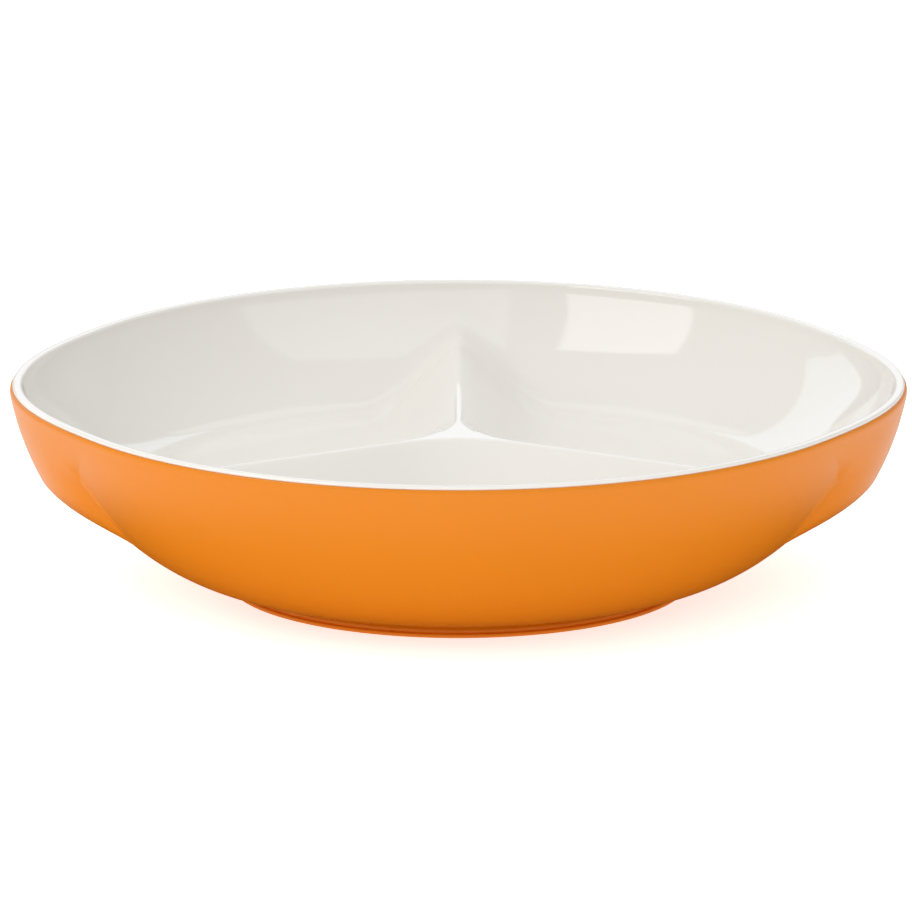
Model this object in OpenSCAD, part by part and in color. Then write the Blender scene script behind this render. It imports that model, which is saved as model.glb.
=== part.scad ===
// Divided serving bowl: a white three-compartment tray set into an orange outer shell with two side
// grips, bonded at the rim, on a non-slip base ring. The origin is at the middle of the table face.

/* [Bowl] */
// Outer radius of the rim between the grips
rim_r = 106.6; // [98:0.2:120]
// Height of the compartments' floor above the table
floor_z = 24.3; // [21:0.1:28]
// Slope of both walls where they meet at the rim, in degrees
rim_slope = 70; // [66:1:74]

/* [Outer shell] */
// Wall of the outer shell
shell_wall = 1.5; // [1.2:0.1:2]
// How far the belly's edge at the foot lies in from the rim
foot_inset = 50.6; // [48:0.2:54]
// Height of the belly's underside above the table
foot_h = 3.8; // [3.4:0.1:5]
// Length of the curve handle that keeps the belly flat beside the foot, as a share of that inset
belly_reach_share = 0.4625; // [0.4:0.0025:0.52]
// Length of the curve handle that keeps the belly steep below the rim
rim_reach = 21.1; // [16:0.1:26]

/* [Grips] */
// How far the rim swells out at the middle of a grip
grip_rim_out = 3.6; // [2:0.1:4.5]
// How far the fullest part of a grip stands out from the belly
grip_out = 7.5; // [5:0.1:9]
// Height at which a grip leaves the belly
grip_low_z = 16.5; // [13:0.5:20]
// Rise from there to the fullest part of the grip
grip_rise = 12; // [10:0.5:14]
// Half the angle that a grip spans on the belly, in degrees
grip_half_angle = 22; // [19:1:25]
// Half the angle that the swelling spans at the rim, in degrees
grip_rim_angle = 32; // [26:1:38]
// Fullness of a grip across its width: a higher power makes a flatter face and firmer creases
grip_power = 4; // [2:0.2:5]

/* [Inner tray] */
// Wall of the inner tray
tray_wall = 1.6; // [1.2:0.1:2]
// Depth from the shell's rim to the floor of the compartments
tray_depth = 25.3; // [22:0.1:27]
// How far the wall runs out from the floor to the lip
wall_run = 25.44; // [22:0.02:28]
// Size of the blend between floor and wall
floor_blend = 2; // [1:0.1:3]

/* [Dividers] */
// Height of the dividers above the floor
divider_h = 13.2; // [10:0.1:16]
// Rounding of a divider's crest
crest_round = 0.8; // [0.5:0.1:1.6]
// Slope of a divider's flanks, in degrees
flank_slope = 39; // [36:1:50]
// Size of the blend between flank and floor
flank_blend = 5; // [3:0.5:8]
// Size of the plan blend that makes the hub a star with hollow sides
hub_blend = 15; // [8:0.5:20]
// Size of the blend by which a divider flares into the wall
flare_blend = 7; // [5:0.5:10]

/* [Lip and rim joint] */
// Height of the lip above the shell's rim
lip_h = 0.9; // [0.7:0.1:1.4]
// Height of the lip's upright outer edge
lip_edge = 0.3; // [0.2:0.05:0.5]
// Gap between the two walls at the rim
rim_gap = 0.15; // [0.1:0.01:0.3]
// Clearance of the bond from both walls
bond_gap = 0.05; // [0.03:0.01:0.08]

/* [Base ring] */
// Height of the base ring's visible lip
ring_h = 1.8; // [1.4:0.1:2.4]
// Width of the base ring across its table face
ring_w = 6.5; // [5:0.1:8]
// How far the base ring stands out from the neck above it
ring_out = 1.2; // [0.8:0.1:1.6]
// Rounding of the base ring's edges
ring_round = 0.6; // [0.3:0.1:0.65]
// Width of the tongue that holds the base ring in the foot
tongue_w = 2; // [1.6:0.1:2.6]
// Height of the tongue
tongue_h = 1.2; // [0.8:0.1:1.4]
// Clearance of the tongue in its groove
tongue_gap = 0.05; // [0.03:0.01:0.1]
// How far the foot's neck lies in from the edge of the belly
neck_in = 0.6; // [0.3:0.1:1]
// Depth of the hollow round the neck
neck_hollow = 0.5; // [0.3:0.1:0.7]

/* [Hidden] */
$fn = 96;

overrun = 1;
arm_angles = [90, 210, 330];
arm_pitch = 120;

// Heights and radii that the pieces share
seat_z = floor_z + tray_depth;
bowl_h = seat_z + lip_h;
crest_z = floor_z + divider_h;
grip_full_z = grip_low_z + grip_rise;
foot_r = rim_r - foot_inset;

// The tray's wall is an arc from the edge of the floor to the lip
lip_in_r = rim_r - (shell_wall + rim_gap + tray_wall) / sin(rim_slope);
floor_r = lip_in_r - wall_run;
wall_chord = norm([wall_run, tray_depth]);
wall_r = wall_chord / (2 * sin(rim_slope - atan2(tray_depth, wall_run)));
wall_centre_r = lip_in_r - wall_r * sin(rim_slope);
wall_centre_z = seat_z + wall_r * cos(rim_slope);

// The shell's outer profile is one curve from the foot to the rim
belly_curve = [
    [foot_r, foot_h],
    [foot_r + foot_inset * belly_reach_share, foot_h],
    [rim_r - rim_reach * cos(rim_slope), seat_z - rim_reach * sin(rim_slope)],
    [rim_r, seat_z]
];

// Power by which the blend into the wall grows from the floor up a divider's flank
flare_growth = 4;

// Places of the mesh rows, as shares of the stretch that they divide
shell_row_shares = [0.14, 0.28, 0.38, 0.46, 0.52, 0.58, 0.65, 0.72, 0.8, 0.88, 0.95];
bond_shares = [0.72, 0.8];
lining_row_shares = [0.2, 0.4, 0.5, 0.61, each bond_shares, 0.88, 0.95];
floor_row_shares = [0.02, 0.04, 0.065, 0.095, 0.135, 0.18, 0.24, 0.33, 0.45, 0.6, 0.76, 0.88, 0.96];
wall_row_shares = [0.06, 0.17, 0.3, 0.43, 0.55, 0.67, 0.78, 0.89, 1];
hollow_row_shares = [0.98, 0.88, 0.76, 0.6, 0.42, 0.2, 0];
under_row_shares = [0.9, 0.7, 0.45, 0.22, 0.12, 0.05, 0.02];
dome_steps = 6;

// Columns of the mesh, on each half of a divider's third and on the shell's halves
half_third_steps = 18;
column_even_share = 0.16;
column_crowding = 2.2;
grip_steps = 6;
side_steps = 34;

function arc_step(a, b) = abs(((a - b + 540) % 360) - 180);
function ease(x) = let(s = min(max(x, 0), 1)) s * s * (3 - 2 * s);
function blend_max(a, b, size) = max(a, b) + pow(max(size - abs(a - b), 0), 2) / (4 * size);
function blend_min(a, b, size) = min(a, b) - pow(max(size - abs(a - b), 0), 2) / (4 * size);
function curve(p, t) = let(u = 1 - t)
    u * u * u * p[0] + 3 * u * u * t * p[1] + 3 * u * t * t * p[2] + t * t * t * p[3];
function curve_dir(p, t) = let(u = 1 - t)
    u * u * (p[1] - p[0]) + 2 * u * t * (p[2] - p[1]) + t * t * (p[3] - p[2]);
function ring_point(r, angle, z) = [r * cos(angle), r * sin(angle), z];

// How far height z lies up the stretch over which the grips widen towards the rim
function rim_share(z) = pow(ease((z - grip_full_z) / (seat_z - grip_full_z)), 2);

// Half the angle that a grip spans at height z
function grip_angle(z) = grip_half_angle + (grip_rim_angle - grip_half_angle) * rim_share(z);

// Share of a grip's bulge at an angle from its middle: a firm crease low down, soft at the rim
function grip_shape(angle, z) = let(
    off = min(arc_step(angle, 0), arc_step(angle, 180)) / grip_angle(z),
    power = grip_power + (2 - grip_power) * rim_share(z)
) off >= 1 ? 0 : pow(1 - pow(off, power), 1 + rim_share(z));

// Bulge of a grip's middle at height z
function grip_bulge(z) = let(
    up = min(max((z - grip_low_z) / grip_rise, 0), 1),
    down = (seat_z - z) / (seat_z - grip_full_z)
) (grip_rim_out + (grip_out - grip_rim_out) * min(down, 1)) * (1 - (1 - up) * (1 - up));
function shell_swell(angle, z) = grip_bulge(z) * grip_shape(angle, z);
function tray_swell(angle, z) = grip_rim_out * rim_share(z) * grip_shape(angle, z);

// The tray's surface at a plan point: drop is zero on top and the wall's thickness underneath
function wall_height(r, drop) = let(away = max(r - wall_centre_r, 0))
    wall_centre_z - sqrt(max(pow(wall_r + drop, 2) - away * away, 0));
function ridge_height(d, drop) =
    crest_z + crest_round - norm([crest_round, d * tan(flank_slope)]) - drop / cos(flank_slope);
function arm_distance(r, angle) = let(
    near = min([for (arm = arm_angles) arc_step(angle, arm)])
) max(blend_min(r * sin(near), r * sin(arm_pitch - near), hub_blend), 0);
function tray_height(r, angle, drop) = let(
    ridge = ridge_height(arm_distance(r, angle), drop),
    base = blend_max(floor_z - drop, ridge, flank_blend),
    rise = (base - floor_z + drop) / divider_h
) blend_max(base, wall_height(r, drop),
    flare_blend + (floor_blend - flare_blend) * pow(1 - rise, flare_growth));

// Angles of the tray's columns, closer together along the dividers
function column_offset(j) = let(share = abs(j) / half_third_steps)
    sign(j) * arm_pitch / 2 * (column_even_share * share
        + (1 - column_even_share) * pow(share, column_crowding));
tray_angles = [for (arm = arm_angles, j = [-half_third_steps : half_third_steps - 1]) arm + column_offset(j)];

// Angles of the shell's columns at height z, which follow the edges of the grips and crowd towards them
function shell_angles(z) = let(half = grip_angle(z)) [
    for (side = [0, 180]) each [
        for (j = [-grip_steps : grip_steps - 1]) side + half * sin(90 * j / grip_steps),
        for (j = [0 : side_steps - 1]) side + half + (180 - 2 * half) * j / side_steps
    ]
];

// Points of one ring of the tray
function tray_ring(r, drop) = [
    for (a = tray_angles) let(z = tray_height(r, a, drop)) ring_point(r + tray_swell(a, z), a, z)
];
function lip_ring(r, z) = [for (a = tray_angles) ring_point(r + tray_swell(a, seat_z), a, z)];

// Points of one ring of the shell, off its outer profile by inset
function shell_place(t, inset) = let(
    at = curve(belly_curve, t),
    along = curve_dir(belly_curve, t),
    inward = [-along[1], along[0]] / norm(along)
) at + inset * inward;
function shell_ring(place) = [
    for (a = shell_angles(place[1])) ring_point(place[0] + shell_swell(a, place[1]), a, place[1])
];

// Triangles between rings of n points, closed by flat ends or, where round is true, into a loop
function skin_faces(rings, n, round) = [
    for (i = [0 : round ? rings - 1 : rings - 2], j = [0 : n - 1]) let(
        a = i * n,
        b = ((i + 1) % rings) * n,
        k = (j + 1) % n
    ) each [[a + j, a + k, b + k], [a + j, b + k, b + j]],
    if (!round) each [[for (j = [n - 1 : -1 : 0]) j], [for (j = [0 : n - 1]) (rings - 1) * n + j]]
];
module skin(rings, round = false) {
    polyhedron(
        points = [for (ring = rings) each ring],
        faces = skin_faces(len(rings), len(rings[0]), round),
        convexity = 6
    );
}

// White tray: three compartments parted by dividers that meet at a star-shaped hub
module inner_tray() {
    lip_mid = (lip_in_r + rim_r) / 2;
    lip_half = (rim_r - lip_in_r) / 2;
    dome_z = seat_z + lip_edge;
    under_top_r = wall_centre_r + sqrt(pow(wall_r + tray_wall, 2) - pow(wall_centre_z - seat_z, 2));
    color("#F1EFEA") skin([
        for (share = floor_row_shares) tray_ring(floor_r * share, 0),
        for (share = wall_row_shares) tray_ring(floor_r + wall_run * share, 0),
        for (i = [0 : dome_steps]) let(turn = 180 * (1 - i / dome_steps))
            lip_ring(lip_mid + lip_half * cos(turn), dome_z + (bowl_h - dome_z) * sin(turn)),
        lip_ring(rim_r, seat_z),
        lip_ring(under_top_r, seat_z),
        for (share = hollow_row_shares) tray_ring(floor_r + (under_top_r - floor_r) * share, tray_wall),
        for (share = under_row_shares) tray_ring(floor_r * share, tray_wall)
    ]);
}

// Orange shell: a flared belly with two side grips, on a foot with a hollow neck
module outer_shell() {
    lining_floor_r = foot_r - shell_wall;
    color("#F08A1D") union() {
        skin([
            shell_ring([lining_floor_r, foot_h + shell_wall]),
            for (share = lining_row_shares) shell_ring(shell_place(share, shell_wall)),
            shell_ring([rim_r - shell_wall / sin(rim_slope), seat_z]),
            shell_ring(belly_curve[3]),
            for (i = [len(shell_row_shares) - 1 : -1 : 0]) shell_ring(shell_place(shell_row_shares[i], 0)),
            shell_ring(belly_curve[0])
        ]);
        rotate_extrude() foot_section();
    }
}

// Section of the foot: a neck with a hollow outside and a groove for the base ring's tongue
neck_r = foot_r - neck_in;
foot_w = ring_w - ring_out;
foot_in_r = neck_r - foot_w;
tongue_mid_r = foot_in_r + foot_w / 2;
module foot_section() {
    hollow_h = foot_h - ring_h;
    hollow_r = (pow(hollow_h / 2, 2) + pow(neck_hollow, 2)) / (2 * neck_hollow);
    difference() {
        translate([foot_in_r, ring_h]) square([foot_w, foot_h + shell_wall / 2 - ring_h]);
        translate([neck_r - neck_hollow + hollow_r, ring_h + hollow_h / 2]) circle(r = hollow_r);
        translate([tongue_mid_r - tongue_w / 2 - tongue_gap, ring_h - overrun])
            square([tongue_w + 2 * tongue_gap, overrun + tongue_h + tongue_gap]);
    }
}

// Bead of adhesive that seals the hollow between the tray and the shell, all the way round
module rim_bond() {
    outer_places = [for (share = bond_shares) shell_place(share, shell_wall + bond_gap)];
    outer_low = outer_places[0];
    outer_high = outer_places[1];
    color("#D9D4C8") skin([
        bond_inner_ring(outer_high[1]),
        shell_ring(outer_high),
        shell_ring(outer_low),
        bond_inner_ring(outer_low[1])
    ], round = true);
}
function bond_inner_ring(z) = let(
    r = wall_centre_r + sqrt(pow(wall_r + tray_wall + bond_gap, 2) - pow(wall_centre_z - z, 2))
) [for (a = shell_angles(z)) ring_point(r + tray_swell(a, z), a, z)];

// Non-slip base ring: a rounded lip with a tongue that sits in the foot's groove
module base_ring() {
    color("#E9801A") rotate_extrude() {
        translate([foot_in_r, 0]) rounded_bar(ring_w, ring_h, ring_round);
        translate([tongue_mid_r - tongue_w / 2, ring_h / 2]) square([tongue_w, ring_h / 2 + tongue_h]);
    }
}
module rounded_bar(w, h, r) {
    translate([r, 0]) square([w - 2 * r, h]);
    translate([0, r]) square([w, h - 2 * r]);
    for (x = [r, w - r], y = [r, h - r]) translate([x, y]) circle(r = r);
}

inner_tray();
outer_shell();
rim_bond();
base_ring();
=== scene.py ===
"""Divided serving bowl: a gloss white tray in a satin orange shell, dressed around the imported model."""

import logging
import math
from dataclasses import dataclass
from enum import Enum

import bmesh
import bpy
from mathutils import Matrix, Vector


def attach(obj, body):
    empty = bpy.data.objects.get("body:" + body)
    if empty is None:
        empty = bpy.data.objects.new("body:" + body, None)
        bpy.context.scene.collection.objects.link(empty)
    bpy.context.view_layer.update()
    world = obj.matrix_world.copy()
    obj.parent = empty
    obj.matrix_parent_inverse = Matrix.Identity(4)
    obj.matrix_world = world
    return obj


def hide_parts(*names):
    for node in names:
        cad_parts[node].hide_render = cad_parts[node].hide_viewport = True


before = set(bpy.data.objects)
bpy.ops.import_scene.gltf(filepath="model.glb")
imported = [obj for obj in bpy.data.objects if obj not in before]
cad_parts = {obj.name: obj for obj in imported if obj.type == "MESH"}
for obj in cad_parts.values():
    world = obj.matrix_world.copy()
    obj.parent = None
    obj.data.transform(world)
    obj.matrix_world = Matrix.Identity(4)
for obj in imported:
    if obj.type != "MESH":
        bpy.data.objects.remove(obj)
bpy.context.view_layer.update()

LOG = logging.getLogger("divided_bowl")
MM = 0.001
BODY = "root"
FULL_TURN = 2 * math.pi
QUARTER_TURN = math.pi / 2
MERGE_MM = 1e-4
WHITE = "#FFFFFF"

Point = tuple[float, float]


class Side(Enum):
    """Which part of the tray's section a row of the mesh lies on."""

    TOP = "top"
    LIP = "lip"
    UNDER = "under"


def srgb(code: str) -> tuple[float, float, float, float]:
    """Turn an sRGB hex colour into the linear values a shader takes.

    Args:
        code: six hex digits after a hash mark.

    Returns:
        Linear red, green and blue, and an alpha of one.
    """
    parts = [int(code[i:i + 2], 16) / 255 for i in (1, 3, 5)]
    low_limit, low_slope, offset, power = 0.04045, 12.92, 0.055, 2.4
    line = [p / low_slope if p <= low_limit else ((p + offset) / (1 + offset)) ** power for p in parts]
    return (*line, 1.0)


def new_material(name: str) -> tuple[bpy.types.Material, bpy.types.NodeTree]:
    """Start a node material.

    Args:
        name: the material's name.

    Returns:
        The material and its node tree, which is empty.
    """
    material = bpy.data.materials.new(name)
    material.use_nodes = True
    material.node_tree.nodes.clear()
    return material, material.node_tree


def add_node(tree: bpy.types.NodeTree, kind: str,
             links: dict[str | int, bpy.types.NodeSocket] | None = None,
             values: dict[str | int, object] | None = None, **settings: object) -> bpy.types.Node:
    """Add one shader node with its settings, its socket values and its incoming links.

    Args:
        tree: the material's node tree.
        kind: the node's type name.
        links: input socket names or numbers and the outputs that feed them.
        values: input socket names or numbers and their plain values.
        settings: attributes of the node itself.

    Returns:
        The new node.
    """
    node = tree.nodes.new(kind)
    for name, value in settings.items():
        setattr(node, name, value)
    for name, value in (values or {}).items():
        node.inputs[name].default_value = value
    for name, output in (links or {}).items():
        tree.links.new(output, node.inputs[name])
    return node


def ease(x: float) -> float:
    """Smooth step from nought to one."""
    s = min(max(x, 0.0), 1.0)
    return s * s * (3 - 2 * s)


def blend_max(a: float, b: float, size: float) -> float:
    """The larger of two heights, blended over size where they come close."""
    return max(a, b) + max(size - abs(a - b), 0.0) ** 2 / (4 * size)


def blend_min(a: float, b: float, size: float) -> float:
    """The smaller of two lengths, blended over size where they come close."""
    return min(a, b) - max(size - abs(a - b), 0.0) ** 2 / (4 * size)


def turn_between(a: float, b: float) -> float:
    """Angle between two directions in degrees, from 0 to 180."""
    return abs((a - b + 540) % 360 - 180)


def quarter(steps: int) -> list[float]:
    """Angles of a quarter turn in even steps, from nought up, in radians."""
    return [QUARTER_TURN * i / steps for i in range(steps + 1)]


def at_turn(r: float, turn: float, z: float) -> Vector:
    """Point at a radius, a direction in degrees and a height."""
    return Vector((r * math.cos(math.radians(turn)), r * math.sin(math.radians(turn)), z))


def spin_profile(rows: list[Point], steps: int,
                 closed: bool) -> tuple[bmesh.types.BMesh, bmesh.types.BMLayerItem]:
    """Spin a profile round the vertical axis and keep each row's number on its points.

    Args:
        rows: radius and height of each point of the profile, in order.
        steps: columns in the full turn.
        closed: whether the last point joins the first.

    Returns:
        The spun mesh and the layer that holds the row numbers.
    """
    mesh = bmesh.new()
    layer = mesh.verts.layers.int.new("row")
    points = []
    for number, (r, z) in enumerate(rows):
        point = mesh.verts.new((r, 0, z))
        point[layer] = number
        points.append(point)
    pairs = list(zip(points, points[1:])) + ([(points[-1], points[0])] if closed else [])
    edges = [mesh.edges.new(pair) for pair in pairs]
    bmesh.ops.spin(mesh, geom=points + edges, axis=(0, 0, 1), cent=(0, 0, 0), angle=FULL_TURN,
                   steps=steps, use_merge=True)
    bmesh.ops.remove_doubles(mesh, verts=mesh.verts, dist=MERGE_MM)
    return mesh, layer


def make_object(mesh: bmesh.types.BMesh, name: str, material: bpy.types.Material) -> bpy.types.Object:
    """Turn a mesh into an object of the scene.

    Args:
        mesh: the finished mesh, in metres, which is freed.
        name: the object's name.
        material: its one material.

    Returns:
        The new object.
    """
    data = bpy.data.meshes.new(name)
    mesh.to_mesh(data)
    mesh.free()
    data.materials.append(material)
    made = bpy.data.objects.new(name, data)
    bpy.context.scene.collection.objects.link(made)
    return made


def finish_piece(mesh: bmesh.types.BMesh, name: str, node: str,
                 material: bpy.types.Material) -> bpy.types.Object:
    """Turn a mesh in millimetres into a smooth piece in metres that stands for a CAD node.

    Args:
        mesh: the shaped mesh, in millimetres.
        name: the piece's name.
        node: the CAD node it stands for.
        material: the finish.

    Returns:
        The new object.
    """
    bmesh.ops.scale(mesh, vec=(MM, MM, MM), verts=mesh.verts)
    bmesh.ops.recalc_face_normals(mesh, faces=mesh.faces)
    for face in mesh.faces:
        face.smooth = True
    piece = make_object(mesh, name, material)
    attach(piece, BODY)
    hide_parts(node)
    LOG.info("%s: %d faces", name, len(piece.data.polygons))
    return piece


@dataclass(frozen=True)
class Grips:
    """The two swellings at the sides, in millimetres and degrees.

    The shell's wall bulges by the full amount, and the tray's lip follows it at the rim. A fine bead
    runs along each edge: bead_half is half its width, bead_out its place past the edge and bead_lean
    its lean for each millimetre of height, all as angles.
    """

    seat_z: float
    rim_out: float = 3.6
    out: float = 7.5
    low_z: float = 16.5
    rise: float = 12.0
    half_angle: float = 22.0
    rim_angle: float = 32.0
    power: float = 4.0
    rim_power: float = 2.0
    bead_height: float = 0.55
    bead_half: float = 0.65
    bead_out: float = 1.2
    bead_lean: float = 0.13
    bead_fade_z: float = 33.0
    bead_end_z: float = 42.0

    @property
    def full_z(self) -> float:
        """Height of the fullest part."""
        return self.low_z + self.rise

    def rim_share(self, z: float) -> float:
        """How far a height lies up the stretch over which the grips widen."""
        return ease((z - self.full_z) / (self.seat_z - self.full_z)) ** 2

    def angle(self, z: float) -> float:
        """Half the angle that a grip spans at a height."""
        return self.half_angle + (self.rim_angle - self.half_angle) * self.rim_share(z)

    def off_side(self, turn: float) -> float:
        """Angle from the middle of the nearer grip."""
        return min(turn_between(turn, 0), turn_between(turn, 180))

    def shape(self, turn: float, z: float) -> float:
        """Share of the bulge, with a firm edge low down and a soft one at the rim.

        Args:
            turn: direction in degrees.
            z: height in millimetres.

        Returns:
            One in the middle of a grip, and nought past its edge.
        """
        off = self.off_side(turn) / self.angle(z)
        power = self.power + (self.rim_power - self.power) * self.rim_share(z)
        return 0.0 if off >= 1 else (1 - off ** power) ** (1 + self.rim_share(z))

    def shell_swell(self, turn: float, z: float) -> float:
        """How far the shell stands out from its round belly.

        Args:
            turn: direction in degrees.
            z: height in millimetres.

        Returns:
            The distance in millimetres.
        """
        up = min(max((z - self.low_z) / self.rise, 0), 1)
        down = min((self.seat_z - z) / (self.seat_z - self.full_z), 1)
        bulge = (self.rim_out + (self.out - self.rim_out) * down) * (1 - (1 - up) ** 2)
        return bulge * self.shape(turn, z)

    def bead(self, turn: float, z: float) -> float:
        """How far the fine bead stands out that runs up a grip's edge, leaning in as it rises.

        Args:
            turn: direction in degrees.
            z: height in millimetres.

        Returns:
            The distance in millimetres.
        """
        off = self.off_side(turn) - self.half_angle - self.bead_out + self.bead_lean * max(z - self.full_z, 0)
        up = ease((z - self.low_z) / self.rise)
        up *= 1 - ease((z - self.bead_fade_z) / (self.bead_end_z - self.bead_fade_z))
        return self.bead_height * up * math.exp(-(off / self.bead_half) ** 2)

    def tray_swell(self, turn: float, z: float) -> float:
        """How far the tray's wall and lip stand out from the round."""
        return self.rim_out * self.rim_share(z) * self.shape(turn, z)


@dataclass(frozen=True)
class BowlSizes:
    """Sizes of the rim and the foot, where the pieces meet, in millimetres and degrees."""

    rim_r: float = 106.6
    height: float = 50.5
    rim_slope: float = 70.0
    shell_wall: float = 1.5
    tray_wall: float = 1.6
    rim_gap: float = 0.15
    lip_h: float = 0.9
    edge_in: float = 0.9
    edge_h: float = 1.5
    foot_r: float = 56.0
    foot_w: float = 5.3
    neck_in: float = 0.6
    ring_h: float = 1.8

    @property
    def seat_z(self) -> float:
        """Height of the shell's rim, which the lip sits on."""
        return self.height - self.lip_h

    @property
    def lip_in_r(self) -> float:
        """Radius where the tray's wall turns into the lip."""
        walls = self.shell_wall + self.rim_gap + self.tray_wall
        return self.rim_r - walls / math.sin(math.radians(self.rim_slope))

    @property
    def neck_r(self) -> float:
        """Radius of the foot's neck."""
        return self.foot_r - self.neck_in

    @property
    def foot_in_r(self) -> float:
        """Radius of the foot's inner side, which the ring's is flush with."""
        return self.neck_r - self.foot_w


@dataclass(frozen=True)
class GlossMelamine:
    """White gloss melamine, compression moulded in a polished tool.

    The hard clear skin gives sharp reflections over a soft body, with a faint long ripple.
    """

    name: str = "gloss_white_melamine"
    colour: str = "#E9E7E2"
    deep_colour: str = "#E6E3DD"
    roughness: float = 0.07
    ior: float = 1.6
    ripple_mm: float = 60.0
    ripple_height_mm: float = 0.02

    def build(self) -> bpy.types.Material:
        """Make the material.

        Returns:
            The gloss white material.
        """
        material, tree = new_material(self.name)
        place = add_node(tree, "ShaderNodeTexCoord")
        cloud = add_node(tree, "ShaderNodeTexNoise", {"Vector": place.outputs["Object"]},
                         {"Scale": 1 / (self.ripple_mm * MM)})
        tint = add_node(tree, "ShaderNodeMix", {"Factor": cloud.outputs["Fac"]}, data_type="RGBA")
        tint.inputs["A"].default_value = srgb(self.colour)
        tint.inputs["B"].default_value = srgb(self.deep_colour)
        ripple = add_node(tree, "ShaderNodeBump", {"Height": cloud.outputs["Fac"]},
                          {"Strength": 1.0, "Distance": self.ripple_height_mm * MM})
        skin = add_node(tree, "ShaderNodeBsdfPrincipled",
                        {"Base Color": tint.outputs["Result"], "Normal": ripple.outputs["Normal"]},
                        {"Roughness": self.roughness, "IOR": self.ior})
        add_node(tree, "ShaderNodeOutputMaterial", {"Surface": skin.outputs["BSDF"]})
        return material


@dataclass(frozen=True)
class SatinMelamine:
    """Orange melamine with a satin skin from a lightly blasted tool.

    The colour runs through the body, and the reflections are broad. The tool's grain is finer than
    the render shows, so it is drawn about ten times as wide, and it breaks the reflections softly.
    """

    name: str = "satin_orange_melamine"
    colour: str = "#DE8104"
    deep_colour: str = "#DB7D02"
    roughness: float = 0.3
    ior: float = 1.42
    grain_mm: float = 0.9
    grain_height_mm: float = 0.002
    grain_detail: float = 1.0
    cloud_mm: float = 70.0

    def build(self) -> bpy.types.Material:
        """Make the material.

        Returns:
            The satin orange material.
        """
        material, tree = new_material(self.name)
        place = add_node(tree, "ShaderNodeTexCoord")
        cloud = add_node(tree, "ShaderNodeTexNoise", {"Vector": place.outputs["Object"]},
                         {"Scale": 1 / (self.cloud_mm * MM)})
        grain = add_node(tree, "ShaderNodeTexNoise", {"Vector": place.outputs["Object"]},
                         {"Scale": 1 / (self.grain_mm * MM), "Detail": self.grain_detail})
        tint = add_node(tree, "ShaderNodeMix", {"Factor": cloud.outputs["Fac"]}, data_type="RGBA")
        tint.inputs["A"].default_value = srgb(self.colour)
        tint.inputs["B"].default_value = srgb(self.deep_colour)
        bump = add_node(tree, "ShaderNodeBump", {"Height": grain.outputs["Fac"]},
                        {"Strength": 1.0, "Distance": self.grain_height_mm * MM})
        skin = add_node(tree, "ShaderNodeBsdfPrincipled",
                        {"Base Color": tint.outputs["Result"], "Normal": bump.outputs["Normal"]},
                        {"Roughness": self.roughness, "IOR": self.ior})
        add_node(tree, "ShaderNodeOutputMaterial", {"Surface": skin.outputs["BSDF"]})
        return material


@dataclass(frozen=True)
class SoftElastomer:
    """Moulded thermoplastic elastomer, dyed through: matt and slightly dusty.

    Its fine grain is drawn wider than the real one, so that it shows.
    """

    name: str = "orange_elastomer"
    colour: str = "#F6940F"
    roughness: float = 0.5
    ior: float = 1.5
    grain_mm: float = 0.6
    grain_height_mm: float = 0.01

    def build(self) -> bpy.types.Material:
        """Make the material.

        Returns:
            The soft orange material.
        """
        material, tree = new_material(self.name)
        place = add_node(tree, "ShaderNodeTexCoord")
        grain = add_node(tree, "ShaderNodeTexNoise", {"Vector": place.outputs["Object"]},
                         {"Scale": 1 / (self.grain_mm * MM)})
        bump = add_node(tree, "ShaderNodeBump", {"Height": grain.outputs["Fac"]},
                        {"Strength": 1.0, "Distance": self.grain_height_mm * MM})
        skin = add_node(tree, "ShaderNodeBsdfPrincipled", {"Normal": bump.outputs["Normal"]},
                        {"Base Color": srgb(self.colour), "Roughness": self.roughness, "IOR": self.ior})
        add_node(tree, "ShaderNodeOutputMaterial", {"Surface": skin.outputs["BSDF"]})
        return material


@dataclass(frozen=True)
class CuredAdhesive:
    """Cured two-part adhesive: a milky bead with a slightly uneven skin."""

    name: str = "cured_adhesive"
    colour: str = "#DDD8CC"
    roughness: float = 0.4
    ior: float = 1.5
    wave_mm: float = 4.0
    wave_height_mm: float = 0.05

    def build(self) -> bpy.types.Material:
        """Make the material.

        Returns:
            The milky material.
        """
        material, tree = new_material(self.name)
        place = add_node(tree, "ShaderNodeTexCoord")
        wave = add_node(tree, "ShaderNodeTexNoise", {"Vector": place.outputs["Object"]},
                        {"Scale": 1 / (self.wave_mm * MM)})
        bump = add_node(tree, "ShaderNodeBump", {"Height": wave.outputs["Fac"]},
                        {"Strength": 1.0, "Distance": self.wave_height_mm * MM})
        skin = add_node(tree, "ShaderNodeBsdfPrincipled", {"Normal": bump.outputs["Normal"]},
                        {"Base Color": srgb(self.colour), "Roughness": self.roughness, "IOR": self.ior})
        add_node(tree, "ShaderNodeOutputMaterial", {"Surface": skin.outputs["BSDF"]})
        return material


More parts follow.
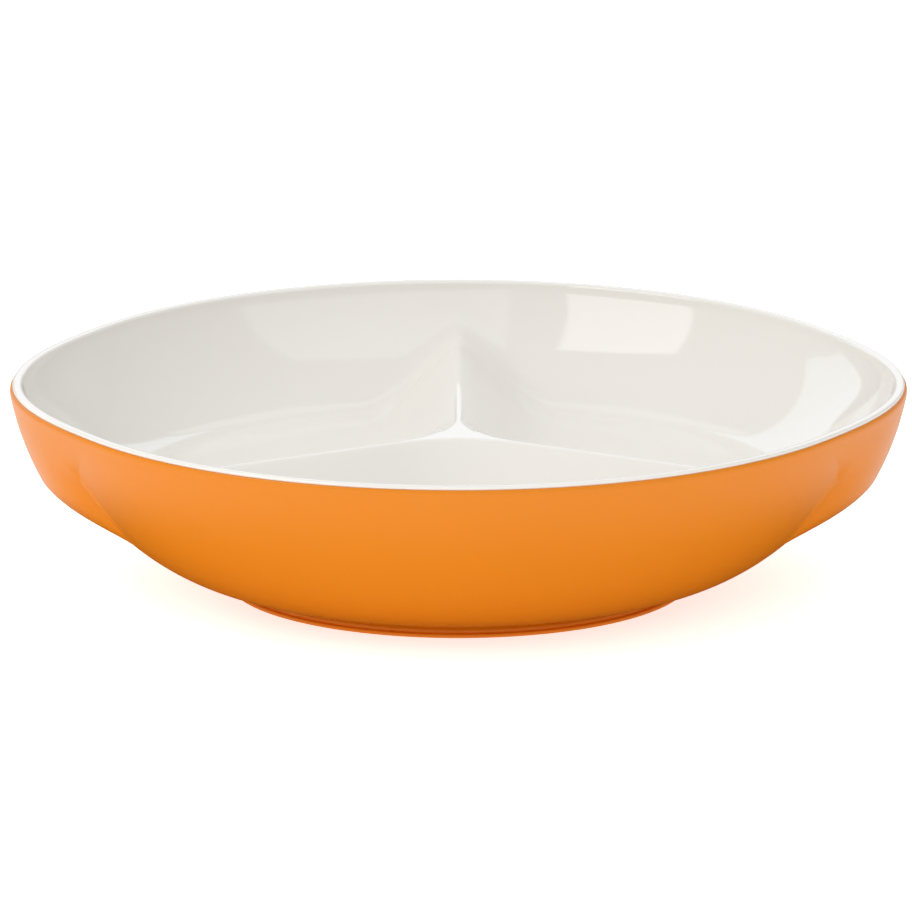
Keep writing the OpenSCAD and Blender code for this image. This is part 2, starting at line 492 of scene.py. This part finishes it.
@dataclass(frozen=True)
class InnerTray:
    """The white tray: three compartments, blended dividers, a star-shaped hub and the lip."""

    bowl: BowlSizes
    grips: Grips
    depth: float = 25.3
    floor_r: float = 77.7
    floor_blend: float = 2.0
    divider_h: float = 13.2
    crest_round: float = 1.2
    flank_slope: float = 39.0
    flank_blend: float = 5.0
    hub_blend: float = 15.0
    flare_blend: float = 7.0
    flare_growth: float = 4.0
    lip_round: float = 0.6
    arms: tuple[float, ...] = (90.0, 210.0, 330.0)
    columns: int = 432
    column_even: float = 0.16
    column_crowding: float = 2.2
    hub_r: float = 14.0
    hub_rows: int = 28
    hub_crowding: float = 1.1
    floor_rows: int = 40
    wall_rows: int = 30
    lip_rows: int = 6
    under_rows: int = 16
    under_start_share: float = 0.3
    row_gap: float = 0.01

    @property
    def floor_z(self) -> float:
        """Height of the compartments' floor."""
        return self.bowl.seat_z - self.depth

    @property
    def crest_z(self) -> float:
        """Height of the dividers' crests."""
        return self.floor_z + self.divider_h

    @property
    def third(self) -> float:
        """Angle from one divider to the next."""
        return 360 / len(self.arms)

    @property
    def under_r(self) -> float:
        """Radius where the wall's underside meets the lip."""
        arc_r, centre_r, centre_z = self.wall_arc()
        return centre_r + math.sqrt((arc_r + self.bowl.tray_wall) ** 2 - (centre_z - self.bowl.seat_z) ** 2)

    def wall_arc(self) -> tuple[float, float, float]:
        """Work out the arc that the wall follows from the floor to the lip.

        Returns:
            The arc's radius, and the radius and height of its centre.
        """
        run = self.bowl.lip_in_r - self.floor_r
        slope = math.radians(self.bowl.rim_slope)
        arc_r = math.hypot(run, self.depth) / (2 * math.sin(slope - math.atan2(self.depth, run)))
        return arc_r, self.bowl.lip_in_r - arc_r * math.sin(slope), self.bowl.seat_z + arc_r * math.cos(slope)

    def wall_height(self, r: float, drop: float) -> float:
        """Height of the wall at a radius.

        Args:
            r: radius in millimetres.
            drop: zero on top, and the wall's thickness underneath.

        Returns:
            The height in millimetres.
        """
        arc_r, centre_r, centre_z = self.wall_arc()
        away = max(r - centre_r, 0)
        return centre_z - math.sqrt(max((arc_r + drop) ** 2 - away * away, 0))

    def arm_distance(self, r: float, turn: float) -> float:
        """Distance to the nearest divider's crest line, drawn in at the hub to make its star.

        Args:
            r: radius in millimetres.
            turn: direction in degrees.

        Returns:
            The distance in millimetres.
        """
        near = min(turn_between(turn, arm) for arm in self.arms)
        beside = r * math.sin(math.radians(near))
        beyond = r * math.sin(math.radians(self.third - near))
        return max(blend_min(beside, beyond, self.hub_blend), 0)

    def height(self, r: float, turn: float, drop: float) -> float:
        """Height of the tray's surface at a plan point.

        Args:
            r: radius in millimetres.
            turn: direction in degrees.
            drop: zero on top, and the wall's thickness underneath.

        Returns:
            The height in millimetres.
        """
        slope = math.radians(self.flank_slope)
        fall = math.hypot(self.crest_round, self.arm_distance(r, turn) * math.tan(slope))
        ridge = self.crest_z + self.crest_round - fall - drop / math.cos(slope)
        base = blend_max(self.floor_z - drop, ridge, self.flank_blend)
        rise = (base - self.floor_z + drop) / self.divider_h
        corner = self.flare_blend + (self.floor_blend - self.flare_blend) * (1 - rise) ** self.flare_growth
        return blend_max(base, self.wall_height(r, drop), corner)

    def top_radii(self) -> list[float]:
        """Radii of the rows on top, closer together at the hub.

        Returns:
            The radii from the middle to the lip.
        """
        run = self.bowl.lip_in_r - self.floor_r
        radii = [self.hub_r * (i / self.hub_rows) ** self.hub_crowding for i in range(self.hub_rows)]
        radii += [self.hub_r + (self.floor_r - self.hub_r) * i / self.floor_rows
                  for i in range(self.floor_rows)]
        return radii + [self.floor_r + run * i / self.wall_rows for i in range(self.wall_rows + 1)]

    def lip(self) -> list[Point]:
        """Points of the lip, which is round on its inner and outer edges.

        Returns:
            Radius and height of each point, from the wall's top over the lip to its underside.
        """
        bowl = self.bowl
        out_r = bowl.rim_r - bowl.edge_in
        points = [(bowl.lip_in_r + bowl.lip_h * (1 - math.cos(turn)),
                   bowl.seat_z + bowl.lip_h * math.sin(turn))
                  for turn in quarter(self.lip_rows)[1:]]
        points += [(out_r - self.lip_round * (1 - math.sin(turn)),
                    bowl.height - self.lip_round * (1 - math.cos(turn)))
                   for turn in quarter(self.lip_rows)]
        return points + [(out_r, bowl.seat_z), (self.under_r, bowl.seat_z)]

    def under_radii(self) -> list[float]:
        """Radii of the rows underneath.

        Returns:
            The radii from the lip back to the middle.
        """
        run = self.floor_r - self.under_r
        radii = [self.under_r + run * (i + self.under_start_share) / self.under_rows
                 for i in range(self.under_rows)]
        return radii + [self.floor_r * (1 - i / self.floor_rows) for i in range(self.floor_rows + 1)]

    def rows(self) -> list[tuple[float, float, Side]]:
        """Rows of the mesh from the hub over the lip and back under it.

        Returns:
            Radius, height and side of each row; only on the lip is the height already right.
        """
        rows = [(r, 0.0, Side.TOP) for r in self.top_radii()]
        rows += [(r, z, Side.LIP) for r, z in self.lip()]
        return rows + [(r, 0.0, Side.UNDER) for r in self.under_radii()]

    def column_turn(self, turn: float) -> float:
        """Move an even column closer to its divider.

        Args:
            turn: the column's even direction in degrees.

        Returns:
            The direction that it takes in the mesh.
        """
        arm = min(self.arms, key=lambda each: turn_between(turn, each))
        off = (turn - arm + 540) % 360 - 180
        share = abs(off) / (self.third / 2)
        crowded = self.column_even * share + (1 - self.column_even) * share ** self.column_crowding
        return arm + math.copysign(self.third / 2 * crowded, off)

    def build(self, material: bpy.types.Material) -> bpy.types.Object:
        """Spin the tray's rows and shape them into dividers, wall and lip.

        Args:
            material: the tray's finish.

        Returns:
            The tray.
        """
        rows = self.rows()
        drops = {Side.TOP: 0.0, Side.UNDER: self.bowl.tray_wall}
        marks = [(r, self.row_gap * number) for number, (r, _, _) in enumerate(rows)]
        mesh, layer = spin_profile(marks, self.columns, closed=False)
        for point in mesh.verts:
            r, z, side = rows[point[layer]]
            turn = self.column_turn(math.degrees(math.atan2(point.co.y, point.co.x)))
            if side is not Side.LIP:
                z = self.height(r, turn, drops[side])
            point.co = at_turn(r + self.grips.tray_swell(turn, z), turn, z)
        return finish_piece(mesh, "divided_tray", "inner_tray", material)


@dataclass(frozen=True)
class OuterShell:
    """The orange shell: flared belly, two side grips and the foot with its hollow neck.

    The belly is one cubic curve, and each reach is how far a control point stands from its end.
    """

    bowl: BowlSizes
    grips: Grips
    foot_h: float = 3.8
    belly_reach: float = 23.4
    rim_reach: float = 21.1
    neck_hollow: float = 0.5
    belly_rows: int = 72
    lining_rows: int = 24
    lining_share: float = 0.96
    edge_steps: int = 8
    neck_steps: int = 12
    grip_columns: int = 36
    side_columns: int = 144
    column_crowding: float = 0.8

    def belly(self, t: float, inset: float) -> Point:
        """Find a point on the belly's curve, or inside it.

        Args:
            t: share of the curve, from the foot up.
            inset: distance in from the outside.

        Returns:
            Radius and height of the point.
        """
        bowl = self.bowl
        slope = math.radians(bowl.rim_slope)
        ends = [
            Vector((bowl.foot_r, self.foot_h)),
            Vector((bowl.foot_r + self.belly_reach, self.foot_h)),
            Vector((bowl.rim_r - self.rim_reach * math.cos(slope),
                    bowl.seat_z - self.rim_reach * math.sin(slope))),
            Vector((bowl.rim_r, bowl.seat_z)),
        ]
        u = 1 - t
        at = u ** 3 * ends[0] + 3 * u * u * t * ends[1] + 3 * u * t * t * ends[2] + t ** 3 * ends[3]
        along = u * u * (ends[1] - ends[0]) + 2 * u * t * (ends[2] - ends[1]) + t * t * (ends[3] - ends[2])
        along.normalize()
        return at.x - inset * along.y, at.y + inset * along.x

    def lining(self) -> list[Point]:
        """Points of the shell's inner face.

        Returns:
            Radius and height of each point, from the middle of the floor to the rim.
        """
        bowl = self.bowl
        floor_z = self.foot_h + bowl.shell_wall
        rim_wall = bowl.shell_wall / math.sin(math.radians(bowl.rim_slope))
        wall = [self.belly(self.lining_share * (i + 2) / (self.lining_rows + 1), bowl.shell_wall)
                for i in range(self.lining_rows)]
        return [(0.0, floor_z), (bowl.foot_r - bowl.shell_wall, floor_z)] + wall + [
            (bowl.rim_r - rim_wall, bowl.seat_z)]

    def edge(self) -> list[Point]:
        """Points of the rounded edge below the lip.

        Returns:
            Radius and height of each point, from the seat down.
        """
        bowl = self.bowl
        lean = 1 / math.tan(math.radians(bowl.rim_slope))
        return [
            (bowl.rim_r - bowl.edge_in * (1 - math.sin(turn)) - lean * bowl.edge_h * (1 - math.cos(turn)),
             bowl.seat_z - bowl.edge_h * (1 - math.cos(turn)))
            for turn in quarter(self.edge_steps)
        ]

    def neck(self) -> list[Point]:
        """Points of the foot's hollow neck and of the foot's inner side.

        Returns:
            Radius and height of each point, from the belly down and round to the middle.
        """
        bowl = self.bowl
        hollow_h = self.foot_h - bowl.ring_h
        hollow = [
            (bowl.neck_r - self.neck_hollow * math.sin(math.pi * i / self.neck_steps),
             self.foot_h - hollow_h * i / self.neck_steps)
            for i in range(self.neck_steps + 1)
        ]
        return hollow + [(bowl.foot_in_r, bowl.ring_h), (bowl.foot_in_r, self.foot_h), (0.0, self.foot_h)]

    def column_turn(self, number: int, z: float) -> float:
        """Find where a column runs, so that columns follow the edges of the grips.

        Args:
            number: the column's number, counted from the first grip.
            z: height in millimetres.

        Returns:
            The column's direction at that height, in degrees.
        """
        half = self.grips.angle(z)
        side, step = divmod(number, self.grip_columns + self.side_columns)
        if step < self.grip_columns:
            return 180 * side - half * math.cos(math.pi * step / self.grip_columns)
        share = (step - self.grip_columns) / self.side_columns
        share -= self.column_crowding * math.sin(FULL_TURN * share) / FULL_TURN
        return 180 * side + half + (180 - 2 * half) * share

    def build(self, material: bpy.types.Material) -> bpy.types.Object:
        """Spin the shell's section and swell it into the grips.

        Args:
            material: the shell's finish.

        Returns:
            The shell.
        """
        rows = self.lining()
        lining_end = len(rows)
        rows += self.edge()
        below = [self.belly(1 - i / self.belly_rows, 0.0) for i in range(self.belly_rows + 1)]
        rows += [(r, z) for r, z in below if z < self.bowl.seat_z - self.bowl.edge_h]
        rows += self.neck()
        columns = 2 * (self.grip_columns + self.side_columns)
        mesh, layer = spin_profile(rows, columns, closed=False)
        for point in mesh.verts:
            r, z = rows[point[layer]]
            number = round(math.atan2(point.co.y, point.co.x) / FULL_TURN * columns) % columns
            turn = self.column_turn(number, z)
            out = r + self.grips.shell_swell(turn, z)
            if point[layer] >= lining_end:
                out += self.grips.bead(turn, z)
            point.co = at_turn(out, turn, z)
        return finish_piece(mesh, "gripped_shell", "outer_shell", material)


@dataclass(frozen=True)
class BaseRing:
    """The non-slip ring: a low rounded lip under a waist, and a tongue that sits in the foot's groove."""

    bowl: BowlSizes
    width: float = 6.5
    rounding: float = 0.45
    lip_h: float = 1.0
    waist_in: float = 1.2
    waist_round: float = 0.4
    tongue_w: float = 2.0
    tongue_h: float = 1.2
    columns: int = 288
    corner_steps: int = 6

    def corner(self, r: float, z: float, start: float) -> list[Point]:
        """Points of a rounded corner.

        Args:
            r: radius of the corner's centre.
            z: height of the corner's centre.
            start: direction of the first point from the centre, in degrees.

        Returns:
            Radius and height of each point, over a quarter turn.
        """
        turns = [math.radians(start) + turn for turn in quarter(self.corner_steps)]
        return [(r + self.rounding * math.cos(turn), z + self.rounding * math.sin(turn)) for turn in turns]

    def waist(self, r: float) -> list[Point]:
        """Points of the hollow corner above the lip, and of the waist.

        Args:
            r: radius of the waist.

        Returns:
            Radius and height of each point, from the lip's top up.
        """
        hollow = [
            (r + self.waist_round * (1 - math.sin(turn)),
             self.lip_h + self.waist_round * (1 - math.cos(turn)))
            for turn in quarter(self.corner_steps)
        ]
        return hollow + [(r, self.bowl.ring_h)]

    def tongue(self) -> list[Point]:
        """Points of the tongue, in the middle of the foot.

        Returns:
            Radius and height of each point, from its outer side to its inner one.
        """
        low, top = self.bowl.ring_h, self.bowl.ring_h + self.tongue_h
        middle = self.bowl.foot_in_r + self.bowl.foot_w / 2
        outer, inner = middle + self.tongue_w / 2, middle - self.tongue_w / 2
        return [(outer, low), (outer, top), (inner, top), (inner, low)]

    def build(self, material: bpy.types.Material) -> bpy.types.Object:
        """Spin the ring's section.

        Args:
            material: the ring's finish.

        Returns:
            The ring.
        """
        in_r = self.bowl.foot_in_r
        out_r = in_r + self.width
        low, out, back = self.rounding, out_r - self.rounding, in_r + self.rounding
        rows = self.corner(out, low, -90) + self.corner(out, self.lip_h - self.rounding, 0)
        rows += self.waist(out_r - self.waist_in) + self.tongue()
        rows += self.corner(back, self.bowl.ring_h - self.rounding, 90) + self.corner(back, low, 180)
        mesh, _ = spin_profile(rows, self.columns, closed=True)
        return finish_piece(mesh, "non_slip_ring", "base_ring", material)


@dataclass(frozen=True)
class Panel:
    """A flat glowing panel that faces the bowl, and that the camera does not see.

    Each corner is a direction from the bowl: degrees from +X towards +Y, and degrees up. A panel
    that is for gloss alone shows in the tray's skin and lights nothing else.
    """

    name: str
    corners: tuple[Point, ...]
    colour: str
    radiance: float
    gloss_only: bool = False
    distance_mm: float = 1500.0

    def build(self) -> None:
        """Hang the panel."""
        rays = []
        for side, up in self.corners:
            turn, rise = math.radians(side), math.radians(up)
            level = math.cos(rise)
            rays.append(Vector((level * math.cos(turn), level * math.sin(turn), math.sin(rise))))
        middle = sum(rays, Vector()).normalized()
        mesh = bmesh.new()
        points = [mesh.verts.new(ray * (self.distance_mm * MM / ray.dot(middle))) for ray in rays]
        bmesh.ops.contextual_create(mesh, geom=points)
        material, tree = new_material(f"studio_{self.name}")
        glow = add_node(tree, "ShaderNodeEmission",
                        values={"Color": srgb(self.colour), "Strength": self.radiance})
        add_node(tree, "ShaderNodeOutputMaterial", {"Surface": glow.outputs["Emission"]})
        panel = make_object(mesh, self.name, material)
        panel.visible_camera = False
        panel.visible_diffuse = panel.visible_shadow = not self.gloss_only


@dataclass(frozen=True)
class Studio:
    """Pale floor, soft lamps, and the camera at the photograph's angle.

    The floor carries a painted shadow round the object that only gloss shows. It stands in for the shade the
    bowl casts, and fades out between its two distances.
    """

    centre_x_px: float = 458.5
    centre_y_px: float = 581.6
    frame_px: float = 912.0
    px_per_mm: float = 4.08
    view_sine: float = 0.243
    distance_mm: float = 10000.0
    sight_mm: float = 40000.0
    sensor_mm: float = 36.0
    floor_mm: float = 6000.0
    floor_drop_mm: float = 0.05
    floor_colour: str = "#F4F4F4"
    floor_glow: float = 0.42
    floor_white: float = 0.25
    # painted shadow: the colour of the floor's darkening near the object, and the two distances over which it
    # fades; only gloss shows it
    painted_shadow_colour: str = "#181818"
    painted_shadow_mm: tuple[float, float] = (92.0, 135.0)
    dim_strength: float = 0.37
    bright_strength: float = 1.1
    bright_side: tuple[float, float, float] = (-0.5, 0.0, 0.86)
    studio_colour: str = "#B4AFA8"
    panels: tuple[Panel, ...] = (
        Panel("key_left", ((238, 27.5), (199, 21.5), (180, 50), (214, 68)), "#FFFDF9", 2.4),
        Panel("fill_front", ((256, 24), (336, 24), (357, 62), (240, 74)), WHITE, 1.1),
        Panel("card", ((147, 13), (147, 21), (70, 33), (70, 10)), "#F4F8FF", 1.3, gloss_only=True),
        Panel("strip", ((112, 34), (112, 54), (68, 54), (68, 34)), WHITE, 0.9, gloss_only=True),
    )

    def camera(self) -> None:
        """Place the camera: the origin falls on its pixel, seen from the photograph's height."""
        scene = bpy.context.scene
        data = bpy.data.cameras.new("camera")
        eye = bpy.data.objects.new("camera", data)
        scene.collection.objects.link(eye)
        width_mm = self.frame_px / self.px_per_mm
        data.sensor_width = self.sensor_mm
        data.lens = self.sensor_mm * self.distance_mm / width_mm
        data.clip_end = self.sight_mm * MM
        cosine = math.sqrt(1 - self.view_sine ** 2)
        aim_x = (self.frame_px / 2 - self.centre_x_px) / self.px_per_mm
        aim_z = (self.centre_y_px - self.frame_px / 2) / (self.px_per_mm * cosine)
        away = Vector((0, -cosine, self.view_sine)) * self.distance_mm
        eye.location = (Vector((aim_x, 0, aim_z)) + away) * MM
        eye.rotation_euler = (QUARTER_TURN - math.asin(self.view_sine), 0, 0)
        scene.camera = eye

    def paper(self) -> bpy.types.Material:
        """Make the floor's material.

        It glows a little, more for the camera, so that it reads as white around the object's shadow.
        In the object's gloss it has no glow, and a painted shadow darkens it towards the object. From below
        it is clear.

        Returns:
            The matt paper.
        """
        material, tree = new_material("studio_floor")
        sight = add_node(tree, "ShaderNodeLightPath")
        place = add_node(tree, "ShaderNodeTexCoord")
        away = add_node(tree, "ShaderNodeVectorMath", {0: place.outputs["Object"]}, operation="LENGTH")
        # painted shadow: for gloss rays the floor turns dark near the object, in place of the shade the bowl
        # casts on it
        near_mm, far_mm = self.painted_shadow_mm
        shade = add_node(tree, "ShaderNodeMapRange", {"Value": away.outputs["Value"]},
                         {"From Min": near_mm * MM, "From Max": far_mm * MM, "To Min": 1.0, "To Max": 0.0},
                         interpolation_type="SMOOTHSTEP")
        painted_shadow_share = add_node(tree, "ShaderNodeMath",
                        {0: shade.outputs["Result"], 1: sight.outputs["Is Glossy Ray"]}, operation="MULTIPLY")
        tint = add_node(tree, "ShaderNodeMix", {"Factor": painted_shadow_share.outputs["Value"]}, data_type="RGBA")
        tint.inputs["A"].default_value = srgb(self.floor_colour)
        tint.inputs["B"].default_value = srgb(self.painted_shadow_colour)
        matt = add_node(tree, "ShaderNodeBsdfDiffuse", {"Color": tint.outputs["Result"]})
        direct = add_node(tree, "ShaderNodeMath", {0: sight.outputs["Is Glossy Ray"]},
                          {1: -self.floor_glow, 2: self.floor_glow}, operation="MULTIPLY_ADD")
        seen = add_node(tree, "ShaderNodeMath",
                        {0: sight.outputs["Is Camera Ray"], 2: direct.outputs["Value"]},
                        {1: self.floor_white}, operation="MULTIPLY_ADD")
        glow = add_node(tree, "ShaderNodeEmission", {"Strength": seen.outputs["Value"]},
                        {"Color": srgb(WHITE)})
        lit = add_node(tree, "ShaderNodeAddShader", {0: matt.outputs["BSDF"], 1: glow.outputs["Emission"]})
        under = add_node(tree, "ShaderNodeNewGeometry")
        clear = add_node(tree, "ShaderNodeBsdfTransparent")
        sheet = add_node(tree, "ShaderNodeMixShader", {0: under.outputs["Backfacing"],
                                                       1: lit.outputs["Shader"], 2: clear.outputs["BSDF"]})
        add_node(tree, "ShaderNodeOutputMaterial", {"Surface": sheet.outputs["Shader"]})
        return material

    def floor(self) -> None:
        """Lay the pale floor just under the ring's face."""
        mesh = bmesh.new()
        bmesh.ops.create_grid(mesh, x_segments=1, y_segments=1, size=self.floor_mm * MM / 2)
        bmesh.ops.translate(mesh, vec=(0, 0, -self.floor_drop_mm * MM), verts=mesh.verts)
        make_object(mesh, "floor", self.paper())

    def world(self) -> None:
        """Light the room more from the left and above, and show white behind the object."""
        world = bpy.data.worlds.new("studio")
        bpy.context.scene.world = world
        world.use_nodes = True
        tree = world.node_tree
        tree.nodes.clear()
        sight = add_node(tree, "ShaderNodeLightPath")
        place = add_node(tree, "ShaderNodeTexCoord")
        facing = add_node(tree, "ShaderNodeVectorMath", {0: place.outputs["Generated"]},
                          {1: self.bright_side}, operation="DOT_PRODUCT")
        sky = add_node(tree, "ShaderNodeMapRange", {"Value": facing.outputs["Value"]},
                       {"From Min": -1.0, "To Min": self.dim_strength, "To Max": self.bright_strength})
        room = add_node(tree, "ShaderNodeBackground", {"Strength": sky.outputs["Result"]},
                        {"Color": srgb(WHITE)})
        walls = add_node(tree, "ShaderNodeBackground", values={"Color": srgb(self.studio_colour)})
        white = add_node(tree, "ShaderNodeBackground", values={"Color": srgb(WHITE)})
        bounced = add_node(tree, "ShaderNodeMixShader", {0: sight.outputs["Is Glossy Ray"],
                                                         1: room.outputs["Background"],
                                                         2: walls.outputs["Background"]})
        seen = add_node(tree, "ShaderNodeMixShader", {0: sight.outputs["Is Camera Ray"],
                                                      1: bounced.outputs["Shader"],
                                                      2: white.outputs["Background"]})
        add_node(tree, "ShaderNodeOutputWorld", {"Surface": seen.outputs["Shader"]})

    def build(self) -> None:
        """Set the stage."""
        bpy.context.scene.view_settings.view_transform = "Standard"
        self.camera()
        self.floor()
        self.world()
        for panel in self.panels:
            panel.build()


def main() -> None:
    """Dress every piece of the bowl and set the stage."""
    logging.basicConfig(level=logging.INFO, format="%(name)s: %(message)s")
    bowl = BowlSizes()
    grips = Grips(seat_z=bowl.seat_z)
    InnerTray(bowl, grips).build(GlossMelamine().build())
    OuterShell(bowl, grips).build(SatinMelamine().build())
    BaseRing(bowl).build(SoftElastomer().build())
    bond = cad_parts["rim_bond"]
    bond.data.materials.clear()
    bond.data.materials.append(CuredAdhesive().build())
    LOG.info("%s: the solid itself, dressed", bond.name)
    Studio().build()


if __name__ == "__main__":
    main()
